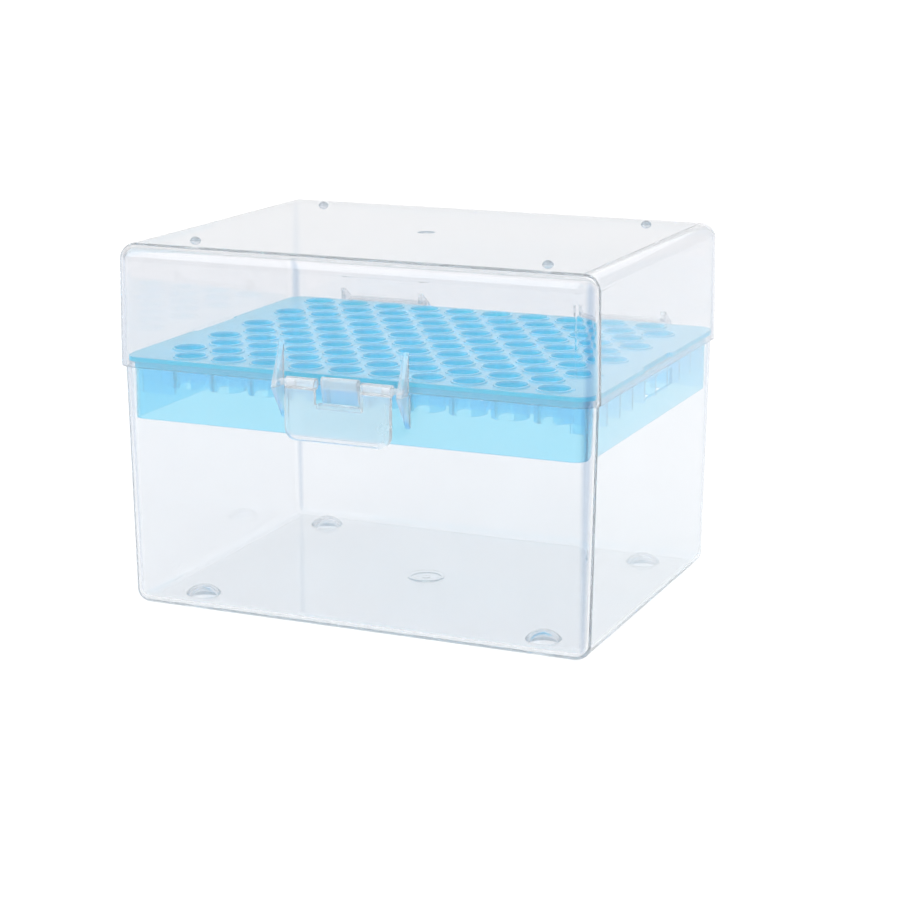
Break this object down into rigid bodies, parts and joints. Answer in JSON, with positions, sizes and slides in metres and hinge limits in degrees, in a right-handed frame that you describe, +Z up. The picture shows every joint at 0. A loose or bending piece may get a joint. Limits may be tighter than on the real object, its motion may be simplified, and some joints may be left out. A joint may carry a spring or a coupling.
{
  "type": "pipette tip box",
  "caption": "Clear hinged box with a front snap latch and a lift-out rack whose staggered rows of round holes hold pipette tips upright.",
  "frame": {"origin": "centre of the box's outline on its rest plane, the flat underside of the base", "axes": "+Z up, +X to the right as seen from the latch side, +Y from the latch at the front to the hinges at the back"},
  "size_m": [0.13, 0.11, 0.0961],
  "materials": {
    "clear_base": "natural polypropylene, clear with a slight haze, gloss moulded",
    "blue_rack": "sky blue translucent polypropylene, satin",
    "clear_lid": "natural polypropylene, clear with a slight haze, gloss moulded",
    "clear_latch": "natural polypropylene, frosted"
  },
  "bodies": {
    "box_base": {"base": "clear_base", "rack": "blue_rack"},
    "box_lid": {"lid": "clear_lid"},
    "snap_latch": {"latch": "clear_latch"}
  },
  "joints": [
    {"name": "lid_hinge", "type": "hinge", "parent": "box_base", "child": "box_lid", "pos_m": [0, 0.053, 0.0644], "axis": [-1, 0, 0], "range_deg": [0, 105]},
    {"name": "latch_hinge", "type": "hinge", "parent": "box_lid", "child": "snap_latch", "pos_m": [0, -0.0524, 0.0643], "axis": [-1, 0, 0], "range_deg": [0, 110]}
  ]
}
